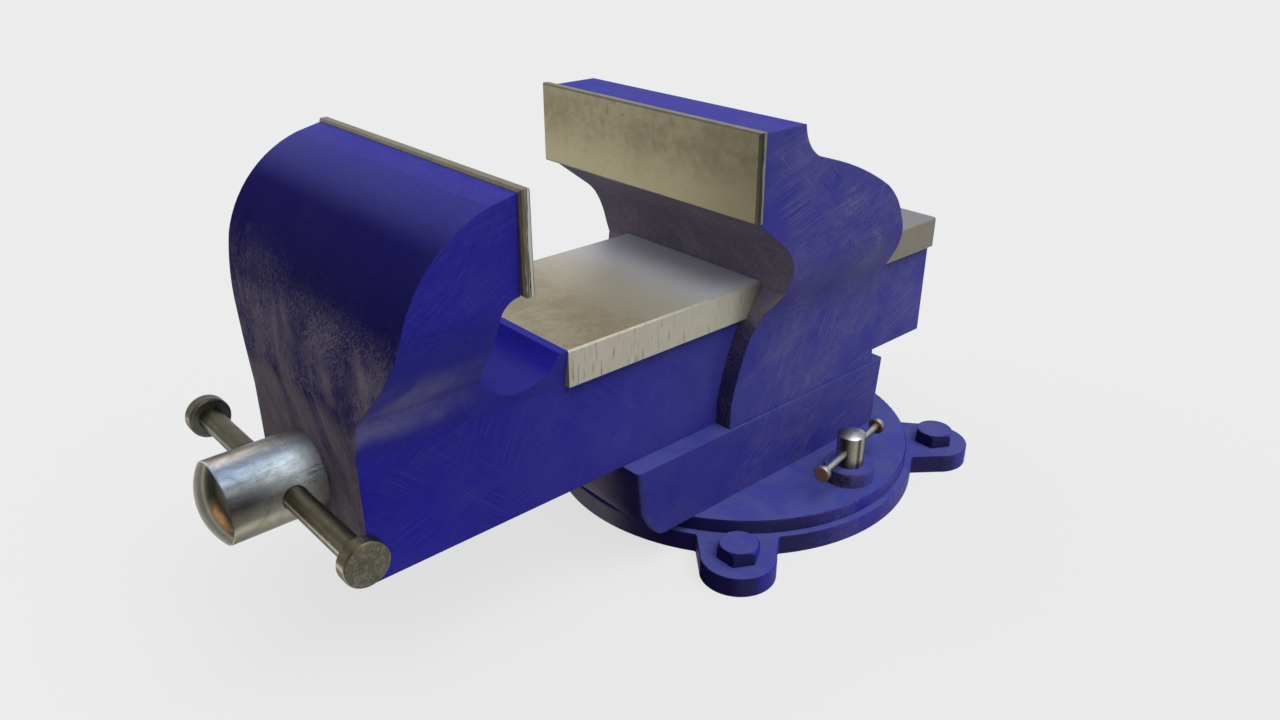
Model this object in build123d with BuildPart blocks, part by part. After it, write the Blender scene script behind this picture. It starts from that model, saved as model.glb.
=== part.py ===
from build123d import *
import os
from math import asin, atan2, cos, degrees, hypot, radians, sin, sqrt, tan

os.makedirs("parts", exist_ok=True)

# A bench vise on a swivel base, in millimetres.
# X runs across the jaws, Y from the handle to the back, Z up.
# The origin is on the swivel axis, at the underside of the base.

# --- Fits -------------------------------------------------------------------
running_gap = 0.05  # radial, for what turns or slides in a bore
locating_gap = 0.02  # radial, for pins, screws and caps that stay put
guide_gap = 0.2  # round the beam and the slide bar in the body's tunnel
screw_hole_gap = 0.5  # radial, round a screw that passes through a plain hole
edge_break = 0.8  # fillets on cast rims and turned ends

# --- Base plate -------------------------------------------------------------
base_rim = 3.8  # from the swivel disc's rim out to the base's
base_height = 10.5
lug_reach = 14.0  # from the base's rim out to the bolts
lug_count = 4
lug_first_angle = 45.0
lug_end_radius = 19.0
lug_root_half_width = 21.5
lug_root_inset = 9.0  # from the base's rim in to where the lugs' flanks begin
lug_root_fillet = 1.5
lug_hole_diameter = 14.5

# --- Annular T-slot in the base, for the lock screws --------------------------
slot_floor = 2.5
slot_lip = 3.5
slot_channel_width = 18.0
slot_neck_width = 11.0
slot_entry_length = 20.0

# --- Hold-down bolts ----------------------------------------------------------
bolt_diameter = 12.0
bolt_length = 60.0
bolt_head_height = 7.5
bolt_across_flats = 19.0
bolt_head_bevel = 45.0  # degrees, across the head's corners
bolt_tip_chamfer = 1.2

# --- Pivot pin ----------------------------------------------------------------
pivot_diameter = 20.0
pivot_flange_diameter = 32.0
pivot_flange_height = 4.0
pivot_reach = 33.5  # above the top of the base
pivot_boss_radius = 18.0  # half the thickness of the web that holds the pivot

# --- Swivel disc and lower block of the body -----------------------------------
disc_radius = 100.2
disc_height = 7.8
block_height = 42.1
block_front = -124.5
block_rear = 64.0
block_ledge_half_width = 56.0
block_foot_half_width = 53.5
block_front_lean = 3.5  # the front face leans back this much on its way down
block_toe_length = 16.5  # the underside starts this far behind the front face
block_toe_height = 17.7
block_toe_bulge_y = 10.0
block_toe_bulge_z = 6.3
block_edge_radius = 2.5
hollow_half_width = 38.0
hollow_front = -84.0
hollow_rear = 48.0
hollow_roof = 12.4  # iron left between the hollow and the ledge

# --- Beam, slide bar and jaws ---------------------------------------------------
beam_half_width = 45.2
beam_height = 54.2
beam_wall = 9.2
beam_roof = 4.8
beam_front_wall = 16.1
slide_bar_half_width = 48.9
slide_bar_height = 17.3
slide_bar_length = 269.2
slide_bar_end_gap = 1.1  # the bar's rear end stops this far short of the beam's
slide_bar_chamfer = 0.8
jaw_rise = 80.7  # castings' tops above the slide bar
jaw_opening = 117.5
rear_seat = -68.3
front_jaw_depth = 58.3
plate_width = 150.0
plate_height = 40.0
plate_thickness = 5.0
plate_rise = 1.3  # above the castings' tops
plate_chamfer = 0.9
scoop_radius = 21.3  # the cross groove at the foot of the front jaw
scoop_behind_seat = 15.3
scoop_above_bar = 9.1
scoop_lip = 3.2  # the groove's front edge lies this far below the bar's top
scoop_wall = 4.24  # between the groove and the slide bar
jaw_half_width = 73.5
rear_jaw_thickness = 27.5
rear_seat_height = 40.0
rear_throat = 30.2  # from the rear seat back to the face below the jaw
rear_foot_front = 6.3
rear_foot_back = 122.8
rear_foot_height = 13.0
rear_foot_half_width = 54.7
rear_waist_half_width = 55.4

# --- Points on the curved outlines of the jaws' castings ----------------------------
# Rear jaw from the side, its front: (behind the seat, above the slide bar's top)
rear_front_points = [(16.2, -27.4), (rear_throat, -2.7), (rear_throat, 4.1), (27.8, 15.6), (19.8, 25.7)]
# Its back: (behind the seat, below the casting's top)
rear_back_points = [(32.3, 10.9), (41.3, 17.1), (70.3, 27.1), (95.3, 40.1), (109.3, 55.1), (116.8, 75.6)]
# Rear jaw from the front: (outside the waist, above the beam's top)
rear_flare_points = [(0.0, -9.0), (0.8, -2.6), (2.9, 4.2), (8.3, 13.0)]
# Above that: (inside the jaw's widest half width, above the slide bar's top)
rear_cheek_points = [(5.1, 6.1), (2.9, 21.1), (2.0, 31.1)]
rear_top_inset = 0.8
# Front jaw from the side, its back: (in front of the seat, above the slide bar's top)
front_back_points = [(4.8, 0.0), (9.3, 20.4), (8.3, 32.9), (4.6, 40.6)]
# Its front: (in front of the seat, below the casting's top)
front_nose_points = [(11.2, 2.5), (32.0, 14.0), (48.4, 39.6), (53.2, 58.6)]
# Front jaw from the front: (outside the beam, above the slide bar's top)
front_flare_points = [(3.3, 0.0), (14.5, 13.6)]
front_flare_middle = (1.2, 6.1)  # outside the beam, above its top
# Above that: (inside the jaw's widest half width, above the slide bar's top)
front_cheek_points = [(6.1, 25.4), (1.6, 41.1)]

# --- Lead screw, nut and collar ---------------------------------------------------
screw_height = 92.8
screw_diameter = 22.0
screw_rear = 30.0
screw_head_radius = 17.5
screw_head_length = 38.7
screw_head_dome = 6.0
collar_radius = 16.0
collar_length = 12.0
collar_pin_diameter = 5.0
nut_front = -75.0
nut_length = 50.0
nut_boss_radius = 16.5
nut_flange_half_width = 30.0
nut_flange_height = 12.0
nut_bolt_diameter = 10.0
nut_bolt_head_diameter = 16.0
nut_bolt_head_height = 10.0
nut_bolt_spacing = 30.0
nut_bolt_grip = 9.5  # reach into the nut
nut_bolt_socket = 8.0

# --- T-bar handle -------------------------------------------------------------------
handle_diameter = 10.1
handle_length = 149.0
handle_setback = 13.9  # from the jaw's front face to the bar's axis
handle_cap_diameter = 18.6
handle_cap_length = 6.8
cap_end_wall = 2.0  # left beyond the bar's end in every cap
cap_round = 1.2

# --- Lock screws ----------------------------------------------------------------------
lock_inset = 18.8  # from the disc's rim in to the screws' axes, along X
lock_y = 4.4
lock_boss_radius = 13.5
lock_boss_height = 8.2
lock_shank_diameter = 10.0
lock_head_radius = 7.4
lock_head_height = 19.5
lock_head_dome = 2.0
lock_bar_rise = 8.4  # axis above the boss
lock_bar_diameter = 4.0
lock_bar_length = 65.0
lock_bar_turn = 10.5  # degrees from the Y axis, outward at the rear
lock_cap_diameter = 8.6
lock_cap_length = 3.0
lock_cap_end_wall = 0.8
lock_cap_round = 0.6
t_nut_width = 15.0
t_nut_length = 18.0
t_nut_height = 4.0

# --- Hidden pins and screws --------------------------------------------------------------
plate_pin_diameter = 6.0
plate_pin_length = 16.0
plate_pin_bite = 2.5  # depth in the plate
plate_pin_spacing = 100.0
plate_pin_drop = 20.0  # below the castings' tops
bar_screw_diameter = 8.0
bar_screw_head_diameter = 13.0
bar_screw_head_height = 8.0
bar_screw_bite = 12.0
bar_screw_socket = 6.0
bar_screw_wall_gap = 9.0  # from the screws' axes to the channel's walls
bar_screw_first = 25.0  # from the front end of the slide bar
bar_screw_last = 29.2  # from its rear end

# --- Heights and stations worked out from the above ------------------------------------------
disc_top = base_height + disc_height
ledge = disc_top + block_height
beam_top = ledge + beam_height
bar_top = beam_top + slide_bar_height
casting_top = bar_top + jaw_rise
plate_top = casting_top + plate_rise
plate_bottom = plate_top - plate_height
front_seat = rear_seat - jaw_opening - 2 * plate_thickness
front_face = front_seat - front_jaw_depth
hollow_top = ledge - hollow_roof
pockets = [(hollow_front, -pivot_boss_radius), (pivot_boss_radius, hollow_rear)]
lock_boss_top = disc_top + lock_boss_height
base_radius = disc_radius + base_rim
bolt_circle_radius = base_radius + lug_reach
lug_root_distance = base_radius - lug_root_inset  # from the swivel axis to the lugs' flanks
lock_x = disc_radius - lock_inset
slot_radius = hypot(lock_x, lock_y)
channel_half_width = beam_half_width - beam_wall
bar_screw_x = channel_half_width - bar_screw_wall_gap
channel_top = beam_top - beam_roof
channel_front = front_face + beam_front_wall
handle_y = front_face - handle_setback
toe_top = disc_top + block_toe_height
block_toe_end = block_front + block_toe_length
rear_seat_bottom = casting_top - rear_seat_height
rear_front = [(rear_seat + y, bar_top + z) for y, z in rear_front_points]
rear_back = [(rear_seat + y, casting_top - z) for y, z in rear_back_points]
rear_flare = [(rear_waist_half_width + x, beam_top + z) for x, z in rear_flare_points]
rear_cheek = [(jaw_half_width - x, bar_top + z) for x, z in rear_cheek_points]
rear_foot_top = (rear_seat + rear_foot_front, ledge + rear_foot_height)
rear_crest = (rear_seat + rear_jaw_thickness, casting_top)
front_back = [(front_seat - y, bar_top + z) for y, z in front_back_points]
front_nose = [(front_seat - y, casting_top - z) for y, z in front_nose_points]
front_flare = [(beam_half_width + x, bar_top + z) for x, z in front_flare_points]
front_flare_bend = (beam_half_width + front_flare_middle[0], beam_top + front_flare_middle[1])
front_cheek = [(jaw_half_width - x, bar_top + z) for x, z in front_cheek_points]
scoop_y = front_seat + scoop_behind_seat
scoop_z = bar_top + scoop_above_bar
scoop_rear = scoop_y + sqrt(scoop_radius**2 - scoop_above_bar**2)
scoop_front = scoop_y - sqrt(scoop_radius**2 - (scoop_above_bar + scoop_lip) ** 2)
scoop_front_height = bar_top - scoop_lip
slide_bar_front = scoop_rear + scoop_wall
slide_bar_rear = slide_bar_front + slide_bar_length
beam_length = slide_bar_rear + slide_bar_end_gap - front_face
beam_rear = front_face + beam_length
bar_screw_spacing = slide_bar_length - bar_screw_first - bar_screw_last
bolt_head_top = base_height + bolt_head_height
bolt_cone_radius = (bolt_across_flats + bolt_head_height) / 2  # outside the head's corners
bolt_cone_bottom = bolt_head_top - bolt_head_height / 2 * tan(radians(bolt_head_bevel))
lug_spacing_x = 2 * bolt_circle_radius * cos(radians(lug_first_angle))
lug_spacing_y = 2 * bolt_circle_radius * sin(radians(lug_first_angle))
pivot_top = base_height + pivot_reach
lock_top = lock_boss_top + lock_head_height
lock_bar_z = lock_boss_top + lock_bar_rise
t_nut_top = base_height - slot_lip
t_nut_bottom = t_nut_top - t_nut_height
nut_middle = nut_front + nut_length / 2
collar_middle = channel_front + collar_length / 2
plate_pin_z = casting_top - plate_pin_drop
plate_pin_places = [(-plate_pin_spacing / 2, plate_pin_z), (plate_pin_spacing / 2, plate_pin_z)]
nut_bolt_places = [
    (0, nut_middle - nut_bolt_spacing / 2),
    (0, nut_middle + nut_bolt_spacing / 2),
]
bar_screw_places = [
    (x, slide_bar_front + bar_screw_first + along)
    for x in (-bar_screw_x, bar_screw_x)
    for along in (0, bar_screw_spacing)
]
far = 1000.0  # longer than any piece, for cuts that run right through


# --- Base plate: a disc with four lugs and the annular T-slot -------------------
with BuildPart() as base_plate:
    with BuildSketch(Plane.XY):
        Circle(base_radius)
        with PolarLocations(bolt_circle_radius, lug_count, start_angle=lug_first_angle):
            Circle(lug_end_radius)
        with PolarLocations(0, lug_count, start_angle=lug_first_angle):
            Polygon(
                (lug_root_distance, -lug_root_half_width),
                (bolt_circle_radius, -lug_end_radius),
                (bolt_circle_radius, lug_end_radius),
                (lug_root_distance, lug_root_half_width),
                align=None,
            )
    extrude(amount=base_height)
    lug_roots = base_plate.edges().filter_by(Axis.Z).filter_by(
        lambda e: abs(hypot(e.center().X, e.center().Y) - base_radius) < edge_break
    )
    fillet(lug_roots, lug_root_fillet)
    fillet(base_plate.faces().sort_by(Axis.Z)[-1].outer_wire().edges(), edge_break)
    # T-slot: the channel, its neck, and the pocket where the T-nuts go in
    with BuildSketch(Plane.XY.offset(slot_floor)):
        Circle(slot_radius + slot_channel_width / 2)
        Circle(slot_radius - slot_channel_width / 2, mode=Mode.SUBTRACT)
    extrude(amount=base_height - slot_lip - slot_floor, mode=Mode.SUBTRACT)
    with BuildSketch(Plane.XY.offset(base_height)):
        Circle(slot_radius + slot_neck_width / 2)
        Circle(slot_radius - slot_neck_width / 2, mode=Mode.SUBTRACT)
    extrude(amount=-slot_lip, mode=Mode.SUBTRACT)
    with BuildSketch(Plane.XY.offset(base_height)):
        with Locations((0, slot_radius)):
            Rectangle(slot_entry_length, slot_channel_width)
    extrude(amount=-slot_lip, mode=Mode.SUBTRACT)
    # Holes for the hold-down bolts and the flanged pivot pin
    with BuildSketch(Plane.XY):
        with PolarLocations(bolt_circle_radius, lug_count, start_angle=lug_first_angle):
            Circle(lug_hole_diameter / 2)
        Circle(pivot_diameter / 2 + locating_gap)
    extrude(amount=base_height, mode=Mode.SUBTRACT)
    with BuildSketch(Plane.XY):
        Circle(pivot_flange_diameter / 2 + locating_gap)
    extrude(amount=pivot_flange_height, mode=Mode.SUBTRACT)
base_plate.part.label = "base_plate"
export_step(base_plate.part, "parts/base_plate.step")

# --- Hold-down bolts: hexagon heads on the lugs, shanks down into the bench -------
with BuildPart() as bolt:
    with BuildSketch(Plane.XY.offset(base_height)):
        RegularPolygon(bolt_across_flats / 2, 6, major_radius=False)
    extrude(amount=bolt_head_height)
    # The corners of the head are turned off by a shallow cone
    with BuildSketch(Plane.XZ):
        with BuildLine():
            Polyline(
                (0, base_height),
                (bolt_cone_radius, base_height),
                (bolt_cone_radius, bolt_cone_bottom),
                (bolt_across_flats / 2, bolt_head_top),
                (0, bolt_head_top),
                close=True,
            )
        make_face()
    revolve(axis=Axis.Z, mode=Mode.INTERSECT)
    with BuildSketch(Plane.XY.offset(base_height)):
        Circle(bolt_diameter / 2)
    extrude(amount=-bolt_length)
    chamfer(bolt.edges().sort_by(Axis.Z)[0], bolt_tip_chamfer)

with BuildPart() as hold_down_bolts:
    with GridLocations(lug_spacing_x, lug_spacing_y, 2, 2):
        add(bolt.part)
hold_down_bolts.part.label = "hold_down_bolts"
export_step(hold_down_bolts.part, "parts/hold_down_bolts.step")

# --- Pivot pin: flanged under the base, running in the body's boss ----------------
with BuildPart() as pivot_pin:
    with BuildSketch(Plane.XY):
        Circle(pivot_flange_diameter / 2)
    extrude(amount=pivot_flange_height)
    with BuildSketch(Plane.XY):
        Circle(pivot_diameter / 2)
    extrude(amount=pivot_top)
    chamfer(pivot_pin.edges().sort_by(Axis.Z)[-1], edge_break)
pivot_pin.part.label = "pivot_pin"
export_step(pivot_pin.part, "parts/pivot_pin.step")

# --- Lower block, from its side outline, narrowed towards the foot ----------------
with BuildPart() as block:
    with BuildSketch(Plane.YZ):
        with BuildLine():
            Polyline(
                (block_toe_end, disc_top),
                (block_rear, disc_top),
                (block_rear, ledge),
                (block_front, ledge),
                (block_front + block_front_lean, toe_top),
            )
            ThreePointArc(
                (block_front + block_front_lean, toe_top),
                (block_front + block_toe_bulge_y, disc_top + block_toe_bulge_z),
                (block_toe_end, disc_top),
            )
        make_face()
    extrude(amount=block_ledge_half_width, both=True)
    with BuildSketch(Plane.XZ):
        Polygon(
            (-block_foot_half_width, disc_top),
            (block_foot_half_width, disc_top),
            (block_ledge_half_width, ledge),
            (-block_ledge_half_width, ledge),
            align=None,
        )
    extrude(amount=far, both=True, mode=Mode.INTERSECT)
    uprights = block.edges().filter_by(lambda e: e.bounding_box().size.Z > block_height / 3)
    fillet(uprights, block_edge_radius)

# --- Rear jaw, standing astride the beam on the block -----------------------------
# From its side outline and its outline seen from the front
with BuildPart() as rear_jaw:
    with BuildSketch(Plane.YZ):
        with BuildLine():
            Line((rear_seat + rear_foot_front, ledge), rear_foot_top)
            ThreePointArc(rear_foot_top, *rear_front[:2])
            Line(*rear_front[1:3])
            ThreePointArc(*rear_front[2:])
            Polyline(rear_front[-1], (rear_seat, rear_seat_bottom), (rear_seat, casting_top), rear_crest)
            ThreePointArc(rear_crest, *rear_back[:2])
            ThreePointArc(*rear_back[1:4])
            ThreePointArc(*rear_back[3:])
            Polyline(
                rear_back[-1],
                (rear_seat + rear_foot_back, ledge),
                (rear_seat + rear_foot_front, ledge),
            )
        make_face()
    extrude(amount=plate_width / 2, both=True)
    with BuildSketch(Plane.XZ):
        with BuildLine() as rear_side:
            Polyline((0, ledge), (rear_foot_half_width, ledge), rear_flare[0])
            ThreePointArc(*rear_flare[:3])
            Line(*rear_flare[2:])
            ThreePointArc(rear_flare[-1], *rear_cheek[:2])
            Polyline(*rear_cheek[1:], (jaw_half_width - rear_top_inset, casting_top), (0, casting_top))
            mirror(rear_side.line, about=Plane.YZ)
        make_face()
    extrude(amount=far, both=True, mode=Mode.INTERSECT)
    # Tunnel for the beam, and above it the wider one for the slide bar
    with BuildSketch(Plane.XZ):
        with Locations((0, ledge)):
            Rectangle(
                2 * (beam_half_width + guide_gap),
                beam_height,
                align=(Align.CENTER, Align.MIN),
            )
        with Locations((0, beam_top - guide_gap)):
            Rectangle(
                2 * (slide_bar_half_width + guide_gap),
                slide_bar_height + 2 * guide_gap,
                align=(Align.CENTER, Align.MIN),
            )
    extrude(amount=far, both=True, mode=Mode.SUBTRACT)
    # Blind holes for the jaw plate's pins
    with BuildSketch(Plane.XZ.offset(-rear_seat)):
        with Locations(*plate_pin_places):
            Circle(plate_pin_diameter / 2 + locating_gap)
    extrude(amount=-(plate_pin_length - plate_pin_bite), mode=Mode.SUBTRACT)
rear_jaw.part.label = "rear_jaw"
export_step(rear_jaw.part, "parts/rear_jaw.step")

# --- Swivel body: the disc, the lower block and the lock screws' bosses -----------
with BuildPart() as swivel_body:
    with BuildSketch(Plane.XY.offset(base_height)):
        Circle(disc_radius)
    extrude(amount=disc_height)
    fillet(swivel_body.edges().sort_by(Axis.Z)[-1], edge_break)
    add(block.part)
    # Bosses under the lock screws' heads
    with BuildSketch(Plane.XY.offset(disc_top)):
        with Locations((lock_x, lock_y), (-lock_x, lock_y)):
            Circle(lock_boss_radius)
    extrude(amount=lock_boss_height)
    fillet(swivel_body.faces().filter_by(Plane.XY).filter_by(
        lambda f: abs(f.center().Z - lock_boss_top) < locating_gap
    ).edges(), edge_break)
    # Pockets underneath, in front of and behind the web that holds the pivot
    with BuildSketch(Plane.XY.offset(base_height)):
        for start, end in pockets:
            with Locations((0, (start + end) / 2)):
                Rectangle(2 * hollow_half_width, end - start)
    extrude(amount=hollow_top - base_height, mode=Mode.SUBTRACT)
    with BuildSketch(Plane.XY.offset(base_height)):
        Circle(pivot_diameter / 2 + running_gap)
    extrude(amount=pivot_reach + edge_break, mode=Mode.SUBTRACT)
    # Holes for the lock screws' shanks and the nut's bolts
    with BuildSketch(Plane.XY.offset(base_height)):
        with Locations((lock_x, lock_y), (-lock_x, lock_y)):
            Circle(lock_shank_diameter / 2 + running_gap)
    extrude(amount=lock_boss_top - base_height, mode=Mode.SUBTRACT)
    with BuildSketch(Plane.XY.offset(hollow_top)):
        with Locations(*nut_bolt_places):
            Circle(nut_bolt_diameter / 2 + screw_hole_gap)
    extrude(amount=hollow_roof, mode=Mode.SUBTRACT)
swivel_body.part.label = "swivel_body"
export_step(swivel_body.part, "parts/swivel_body.step")

# --- Sliding jaw: the front jaw and its beam, one casting ---------------------------
with BuildPart() as sliding_jaw:
    with BuildSketch(Plane.YZ):
        with BuildLine():
            Polyline(
                (front_face, ledge),
                (beam_rear, ledge),
                (beam_rear, beam_top),
                (slide_bar_front, beam_top),
                (slide_bar_front, bar_top),
                (scoop_rear, bar_top),
            )
            ThreePointArc(
                (scoop_rear, bar_top),
                (scoop_y, scoop_z - scoop_radius),
                (scoop_front, scoop_front_height),
            )
            Line((scoop_front, scoop_front_height), front_back[0])
            ThreePointArc(*front_back[:3])
            ThreePointArc(*front_back[2:], (front_seat, plate_bottom))
            Polyline((front_seat, plate_bottom), (front_seat, casting_top), front_nose[0])
            ThreePointArc(*front_nose[:3])
            ThreePointArc(*front_nose[2:], (front_face, bar_top))
            Line((front_face, bar_top), (front_face, ledge))
        make_face()
    extrude(amount=plate_width / 2, both=True)
    with BuildSketch(Plane.XZ):
        with BuildLine() as front_side:
            Polyline((0, ledge), (beam_half_width, ledge), (beam_half_width, beam_top))
            ThreePointArc((beam_half_width, beam_top), front_flare_bend, front_flare[0])
            Line(*front_flare)
            ThreePointArc(front_flare[-1], *front_cheek)
            Polyline(front_cheek[-1], (jaw_half_width, casting_top), (0, casting_top))
            mirror(front_side.line, about=Plane.YZ)
        make_face()
    extrude(amount=far, both=True, mode=Mode.INTERSECT)
    # Channel under the beam, open below and at the rear
    with BuildSketch(Plane.YZ):
        with Locations((channel_front, ledge)):
            Rectangle(
                beam_rear - channel_front,
                channel_top - ledge,
                align=(Align.MIN, Align.MIN),
            )
    extrude(amount=channel_half_width, both=True, mode=Mode.SUBTRACT)
    # Bore for the lead screw through the front wall
    with BuildSketch(Plane.XZ.offset(-front_face)):
        with Locations((0, screw_height)):
            Circle(screw_diameter / 2 + running_gap)
    extrude(amount=-beam_front_wall, mode=Mode.SUBTRACT)
    # Holes for the slide bar's screws and the jaw plate's pins
    with BuildSketch(Plane.XY.offset(channel_top)):
        with Locations(*bar_screw_places):
            Circle(bar_screw_diameter / 2 + screw_hole_gap)
    extrude(amount=beam_roof, mode=Mode.SUBTRACT)
    with BuildSketch(Plane.XZ.offset(-front_seat)):
        with Locations(*plate_pin_places):
            Circle(plate_pin_diameter / 2 + locating_gap)
    extrude(amount=plate_pin_length - plate_pin_bite, mode=Mode.SUBTRACT)
sliding_jaw.part.label = "sliding_jaw"
export_step(sliding_jaw.part, "parts/sliding_jaw.step")

# --- Slide bar: a flat steel bar on top of the beam ------------------------------------
with BuildPart() as slide_bar:
    with BuildSketch(Plane.XY.offset(beam_top)):
        with Locations((0, slide_bar_front)):
            Rectangle(
                2 * slide_bar_half_width,
                slide_bar_length,
                align=(Align.CENTER, Align.MIN),
            )
    extrude(amount=slide_bar_height)
    long_edges = slide_bar.edges().filter_by(Axis.Y).group_by(Axis.Z)[-1]
    chamfer(long_edges, slide_bar_chamfer)
    with BuildSketch(Plane.XY.offset(beam_top)):
        with Locations(*bar_screw_places):
            Circle(bar_screw_diameter / 2 + locating_gap)
    extrude(amount=bar_screw_bite, mode=Mode.SUBTRACT)
slide_bar.part.label = "slide_bar"
export_step(slide_bar.part, "parts/slide_bar.step")

# --- Slide bar screws: socket heads up against the beam's roof ----------------------------
with BuildPart() as slide_bar_screws:
    with BuildSketch(Plane.XY.offset(channel_top)):
        with Locations(*bar_screw_places):
            Circle(bar_screw_head_diameter / 2)
    extrude(amount=-bar_screw_head_height)
    with BuildSketch(Plane.XY.offset(channel_top)):
        with Locations(*bar_screw_places):
            Circle(bar_screw_diameter / 2)
    extrude(amount=beam_roof + bar_screw_bite - edge_break)
    with BuildSketch(Plane.XY.offset(channel_top - bar_screw_head_height)):
        with Locations(*bar_screw_places):
            RegularPolygon(bar_screw_socket / 2, 6, major_radius=False)
    extrude(amount=bar_screw_head_height / 2, mode=Mode.SUBTRACT)
slide_bar_screws.part.label = "slide_bar_screws"
export_step(slide_bar_screws.part, "parts/slide_bar_screws.step")

# --- Jaw plates and the pins behind them ----------------------------------------------------
for side, seat, into_jaw in (("front", front_seat, -1), ("rear", rear_seat, 1)):
    with BuildPart() as jaw_plate:
        with BuildSketch(Plane.XZ.offset(-seat)):
            with Locations((0, plate_bottom)):
                Rectangle(plate_width, plate_height, align=(Align.CENTER, Align.MIN))
        extrude(amount=into_jaw * plate_thickness)
        chamfer(jaw_plate.faces().filter_by(Axis.Y).edges(), plate_chamfer)
        with BuildSketch(Plane.XZ.offset(-seat)):
            with Locations(*plate_pin_places):
                Circle(plate_pin_diameter / 2 + locating_gap)
        extrude(amount=into_jaw * plate_pin_bite, mode=Mode.SUBTRACT)
    jaw_plate.part.label = f"{side}_jaw_plate"
    export_step(jaw_plate.part, f"parts/{side}_jaw_plate.step")

    with BuildPart() as plate_pins:
        with BuildSketch(Plane.XZ.offset(into_jaw * plate_pin_bite - seat)):
            with Locations(*plate_pin_places):
                Circle(plate_pin_diameter / 2)
        extrude(amount=-into_jaw * (plate_pin_length - edge_break))
    plate_pins.part.label = f"{side}_plate_pins"
    export_step(plate_pins.part, f"parts/{side}_plate_pins.step")

# --- Lead screw nut: a flanged block standing on the ledge inside the beam -------------
with BuildPart() as lead_screw_nut:
    with BuildSketch(Plane.XZ.offset(-nut_front)):
        with Locations((0, ledge)):
            Rectangle(
                2 * nut_flange_half_width,
                nut_flange_height,
                align=(Align.CENTER, Align.MIN),
            )
            Rectangle(
                2 * nut_boss_radius,
                screw_height - ledge,
                align=(Align.CENTER, Align.MIN),
            )
        with Locations((0, screw_height)):
            Circle(nut_boss_radius)
            Circle(screw_diameter / 2 + running_gap, mode=Mode.SUBTRACT)
    extrude(amount=-nut_length)
    with BuildSketch(Plane.XY.offset(ledge)):
        with Locations(*nut_bolt_places):
            Circle(nut_bolt_diameter / 2 + locating_gap)
    extrude(amount=nut_bolt_grip + edge_break, mode=Mode.SUBTRACT)
lead_screw_nut.part.label = "lead_screw_nut"
export_step(lead_screw_nut.part, "parts/lead_screw_nut.step")

# --- Nut bolts: socket heads in the hollow, shanks up into the nut ------------------------
with BuildPart() as nut_bolts:
    with BuildSketch(Plane.XY.offset(hollow_top)):
        with Locations(*nut_bolt_places):
            Circle(nut_bolt_head_diameter / 2)
    extrude(amount=-nut_bolt_head_height)
    with BuildSketch(Plane.XY.offset(hollow_top)):
        with Locations(*nut_bolt_places):
            Circle(nut_bolt_diameter / 2)
    extrude(amount=hollow_roof + nut_bolt_grip)
    with BuildSketch(Plane.XY.offset(hollow_top - nut_bolt_head_height)):
        with Locations(*nut_bolt_places):
            RegularPolygon(nut_bolt_socket / 2, 6, major_radius=False)
    extrude(amount=nut_bolt_head_height / 2, mode=Mode.SUBTRACT)
nut_bolts.part.label = "nut_bolts"
export_step(nut_bolts.part, "parts/nut_bolts.step")

# --- Lead screw: domed head outside the jaw, shank through the wall and the nut -------------
dome_radius = (screw_head_radius**2 + screw_head_dome**2) / (2 * screw_head_dome)
dome_angle = degrees(asin(screw_head_radius / dome_radius))
head_front = front_face - screw_head_length
with BuildPart() as lead_screw:
    with BuildSketch(Plane.YZ):
        with BuildLine() as screw_half:
            CenterArc(
                (head_front - screw_head_dome + dome_radius, screw_height),
                dome_radius,
                180,
                -dome_angle,
            )
            Polyline(
                (head_front, screw_height + screw_head_radius),
                (front_face, screw_height + screw_head_radius),
                (front_face, screw_height + screw_diameter / 2),
                (screw_rear - edge_break, screw_height + screw_diameter / 2),
                (screw_rear, screw_height + screw_diameter / 2 - edge_break),
                (screw_rear, screw_height),
                (head_front - screw_head_dome, screw_height),
            )
        make_face()
    revolve(axis=Axis((0, 0, screw_height), (0, 1, 0)))
    rims = lead_screw.edges().filter_by(GeomType.CIRCLE).filter_by(
        lambda e: abs(e.radius - screw_head_radius) < locating_gap
    )
    fillet(rims, edge_break)
    # Cross holes for the handle and the collar's pin
    with BuildSketch(Plane.YZ):
        with Locations((handle_y, screw_height)):
            Circle(handle_diameter / 2 + running_gap)
        with Locations((collar_middle, screw_height)):
            Circle(collar_pin_diameter / 2 + locating_gap)
    extrude(amount=far, both=True, mode=Mode.SUBTRACT)
lead_screw.part.label = "lead_screw"
export_step(lead_screw.part, "parts/lead_screw.step")

# --- Thrust collar behind the front wall, and its cross pin -----------------------------------
with BuildPart() as thrust_collar:
    with BuildSketch(Plane.XZ.offset(-channel_front)):
        with Locations((0, screw_height)):
            Circle(collar_radius)
            Circle(screw_diameter / 2 + locating_gap, mode=Mode.SUBTRACT)
    extrude(amount=-collar_length)
    with BuildSketch(Plane.YZ):
        with Locations((collar_middle, screw_height)):
            Circle(collar_pin_diameter / 2 + locating_gap)
    extrude(amount=far, both=True, mode=Mode.SUBTRACT)
thrust_collar.part.label = "thrust_collar"
export_step(thrust_collar.part, "parts/thrust_collar.step")

with BuildPart() as collar_pin:
    with BuildSketch(Plane.YZ):
        with Locations((collar_middle, screw_height)):
            Circle(collar_pin_diameter / 2)
    extrude(amount=collar_radius - edge_break, both=True)
collar_pin.part.label = "collar_pin"
export_step(collar_pin.part, "parts/collar_pin.step")

# --- T-bar handle and its end caps ----------------------------------------------------------------
with BuildPart() as handle_bar:
    with BuildSketch(Plane.YZ):
        with Locations((handle_y, screw_height)):
            Circle(handle_diameter / 2)
    extrude(amount=handle_length / 2 - cap_end_wall, both=True)
handle_bar.part.label = "handle_bar"
export_step(handle_bar.part, "parts/handle_bar.step")

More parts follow.
